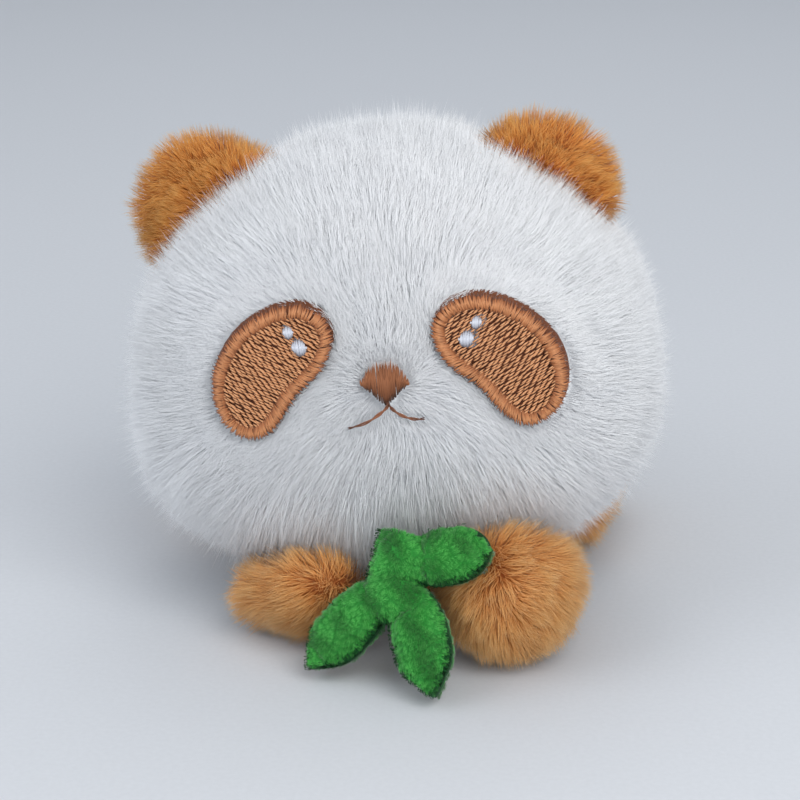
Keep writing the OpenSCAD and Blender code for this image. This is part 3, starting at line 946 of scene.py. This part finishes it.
def make_limb(body, seed, way):
    """A stuffed limb: its skin, and pile that is brushed one way."""
    mesh = skin_mesh([f"{body}_stuffing"], 1.2 * MM, BACKING, 6)
    skin = link(f"{body}_skin", mesh, body, brown_skin)
    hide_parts(f"{body}_top", f"{body}_under", f"{body}_stuffing")
    grow(body, body, mesh, brown_coat, brushed(*way), seed)


def make_limbs():
    make_limb("arm_right", 41, (-0.85, 0.15, -0.3))
    make_limb("arm_left", 40, (0.45, 0.15, -0.8))
    make_limb("leg_right", 51, (-0.5, 0.75, -0.4))
    make_limb("leg_left", 50, (0.5, 0.75, -0.4))


def backwards(roots, normals):
    """Pile that lies towards the tail and a little down."""
    return np.tile([0, 1.0, -0.35], (len(roots), 1))


def make_torso():
    mesh = skin_mesh(["torso_stuffing"], 1.8 * MM, BACKING, 6)
    skin = link("torso_skin", mesh, "torso", white_skin)
    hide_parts("torso_left", "torso_right", "torso_stuffing")
    coat = Coat(9.0, 0.2, 4.0, (30, 64), 0.3, 1.5, 0.2, white_pile, "white_pile")
    grow("torso", "torso", mesh, coat, backwards, 60)
    yoke = skin_mesh(["shoulder_yoke"], 1.2 * MM, -1.5 * MM, 4)
    piece = link("shoulder_yoke_skin", yoke, "torso", brown_skin)
    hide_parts("shoulder_yoke")
    short = Coat(4.0, 0.22, 4.0, (25, 60), 0.4, 1.6, 0.25, brown_pile, "brown_pile")
    grow("shoulder_yoke", "torso", yoke, short, backwards, 61)
    belly = skin_mesh(["belly_panel"], 0.8 * MM, -0.5 * MM, 3)
    panel = link("belly_panel_skin", belly, "torso", white_skin)
    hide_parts("belly_panel")
    nap = Coat(1.6, 0.2, 3.0, (30, 60), 0.2, 1.5, 0.2, white_pile, "white_short_pile")
    grow("belly_panel", "torso", belly, nap, backwards, 62)
    dress("neck_seam", sewing_thread)
    dress("closing_stitches", sewing_thread)


def make_tail():
    mesh = skin_mesh(["tail_stuffing"], 1.0 * MM, 0.8 * MM, 6)
    skin = link("tail_skin", mesh, "tail", white_skin)
    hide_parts("tail_cover", "tail_stuffing")
    coat = Coat(7.5, 0.22, 4.5, (20, 50), 0.4, 1.6, 0.25, white_pile, "white_pile")
    grow("tail", "tail", mesh, coat, away_from(middle("tail_cover") - Vector((0, 9 * MM, 0))), 70)


# ---- Sprig ----

SPRIG_PUFF = 1.1 * MM
SPRIG_EDGE = 1.7 * MM
SEWN = 0.7 * MM
CLOTH_SCALE = 40
CLOTH_SLACK = -0.12
CLOTH_CAP = 0.9 * MM
CLOTH_FRAMES = 20
sprig_normal = (middle("sprig_front") - middle("sprig_back")).normalized()


def blown_up(co, faces, held):
    """How far each point of a closed skin moves when it is blown up as slack cloth, pinned at held.
    It is simulated CLOTH_SCALE times larger, because the cloth solver is made for larger things."""
    mesh = bpy.data.meshes.new("cloth")
    mesh.from_pydata((co * CLOTH_SCALE).tolist(), [], faces)
    obj = bpy.data.objects.new("cloth", mesh)
    scene = bpy.context.scene
    scene.collection.objects.link(obj)
    pin = obj.vertex_groups.new(name="pin")
    pin.add([int(i) for i in np.flatnonzero(held)], 1.0, "REPLACE")
    cloth = obj.modifiers.new("cloth", "CLOTH")
    settings = cloth.settings
    settings.quality = 5
    settings.mass = 0.3
    settings.tension_stiffness = settings.compression_stiffness = 12
    settings.shear_stiffness = 4
    settings.bending_stiffness = 0.6
    settings.vertex_group_mass = "pin"
    settings.use_pressure = True
    settings.uniform_pressure_force = 3
    settings.shrink_min = CLOTH_SLACK
    settings.effector_weights.gravity = 0
    cloth.collision_settings.use_collision = False
    cloth.point_cache.frame_start = 1
    cloth.point_cache.frame_end = CLOTH_FRAMES
    for number in range(1, CLOTH_FRAMES + 1):
        scene.frame_set(number)
    graph = bpy.context.evaluated_depsgraph_get()
    result = bpy.data.meshes.new_from_object(obj.evaluated_get(graph))
    moved = points_of(result) / CLOTH_SCALE - co
    scene.frame_set(1)
    bpy.data.objects.remove(obj)
    bpy.data.meshes.remove(mesh)
    bpy.data.meshes.remove(result)
    return moved


def outer_edge():
    """The outer side of the sprig's edging, without the slivers inside its outline."""
    front, mesh = tree_of(nodes["sprig_front"].data), nodes["sprig_edging"].data
    start = sprig_normal * 10 * MM
    faces = [tuple(f.vertices) for f in mesh.polygons
             if front.ray_cast(f.center - start, sprig_normal)[0] is None]
    return BVHTree.FromPolygons([tuple(v.co) for v in mesh.vertices], faces)


def puffed(node, outwards):
    """A velour layer that swells away from its sewn edge. Cloth only adds pucker, up to CLOTH_CAP."""
    mesh = skin_mesh([node], 0.4 * MM, 0, 3)
    co, no = points_of(mesh), normals_of(mesh)
    distance = nearest(outer_edge(), co, 8 * MM)[0]
    out = np.array(outwards)
    face = np.clip(no @ out, 0, 1)
    co += out * (SPRIG_PUFF * (1 - np.exp(-distance / SPRIG_EDGE)) * face)[:, None]
    faces = [tuple(p.vertices) for p in mesh.polygons]
    moved = blown_up(co, faces, (distance < SEWN) | (face < 0.1))
    size = np.linalg.norm(moved, axis=1, keepdims=True)
    co += moved * np.minimum(1, CLOTH_CAP / np.maximum(size, 1e-9)) * face[:, None]
    print("cloth", node, len(co), "moved", round(float(size.max() / MM), 2), "mm")
    mesh.vertices.foreach_set("co", co.astype(np.float32).ravel())
    finer = mesh_subdivided(mesh)
    bpy.data.meshes.remove(mesh)
    return finer


def mesh_subdivided(mesh):
    """The mesh with one level of subdivision."""
    obj = bpy.data.objects.new("coarse", mesh)
    bpy.context.scene.collection.objects.link(obj)
    obj.modifiers.new("finer", "SUBSURF").levels = 1
    graph = bpy.context.evaluated_depsgraph_get()
    finer = bpy.data.meshes.new_from_object(obj.evaluated_get(graph))
    bpy.data.objects.remove(obj)
    return finer


def make_sprig():
    top = middle("sprig_tack")
    top.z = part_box("sprig_front")[1].z
    # The nap's strong patches (0.8) are painted sheen on the velour.
    nap = Coat(1.25, 0.11, 44, (46, 78), 0.6, 1.5, 0.55, green_nap, "green_velour", 0.8)
    for name, outwards, seed in (("front", sprig_normal, 80), ("back", -sprig_normal, 81)):
        mesh = puffed(f"sprig_{name}", outwards)
        skin = link(f"sprig_{name}_velour", mesh, "sprig", green_skin)
        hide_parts(f"sprig_{name}")
        facing = np.array(outwards)

        def front_only(roots, normals, ways):
            keep = normals @ facing > 0.1
            return ways, np.ones(len(roots)), np.ones(len(roots)), keep

        stem = middle("sprig_front") + 12 * MM * Vector((-0.2, 0, 1))
        grow(f"sprig_{name}", "sprig", mesh, nap, away_from(stem), seed, front_only)
    dress("sprig_wadding", wadding_fibre)
    dress("sprig_edging", green_edge_bed)
    dress("sprig_tack", green_edge_bed)
    make_overlock()


def make_overlock():
    """Short threads wrapped round the sprig's raw edge."""
    rng = np.random.default_rng(SEED * 1000 + 800)
    roots, _ = scatter(nodes["sprig_edging"].data, OVERLOCK_THREADS, rng)
    inner = tree_of(nodes["sprig_wadding"].data)
    _, away, _ = nearest(inner, roots, 20 * MM)
    normal = np.array(sprig_normal)
    away = unit(away - normal * (away @ normal)[:, None])
    keep = rng.random(len(roots)) < np.where(away[:, 2] < 0.1, 0.9, 0.12)
    roots, away = roots[keep], away[keep]
    s = np.linspace(-0.05, 0.5, 5)[None, :, None] * MM
    centre = roots - normal * ((roots - np.array(middle("sprig_edging"))) @ normal)[:, None]
    arch = np.array([0.8, 0.85, 0.65, 0.3, -0.2])[None, :, None] * MM
    flip = np.where(rng.random(len(roots)) < 0.5, 1, -1)[:, None, None]
    paths = centre[:, None] + away[:, None] * s * rng.uniform(0.8, 1.3, (len(roots), 1, 1))
    paths = paths + normal * arch * flip + rng.normal(0, 0.08 * MM, (len(roots), 1, 3))
    paths[:, :, 2] = np.maximum(paths[:, :, 2], FLOOR_GAP)
    radii = np.full((len(roots), 4), OVERLOCK_R)
    side = np.cross(away, normal)
    shade = rng.uniform(0, 1, len(roots))
    threads = spikes("sprig_overlock", paths, radii, side, shade, 4)
    link("sprig_overlock", threads, "sprig", green_thread)


# ---- Everything ----

CAMERA_TARGET_UP = 40 * MM
add_camera(Vector((-0.0002, head_middle.y, CAMERA_TARGET_UP)))
add_studio()
add_floor()
make_head()
make_ear("left")
make_ear("right")
make_face()
make_limbs()
make_torso()
make_tail()
make_sprig()
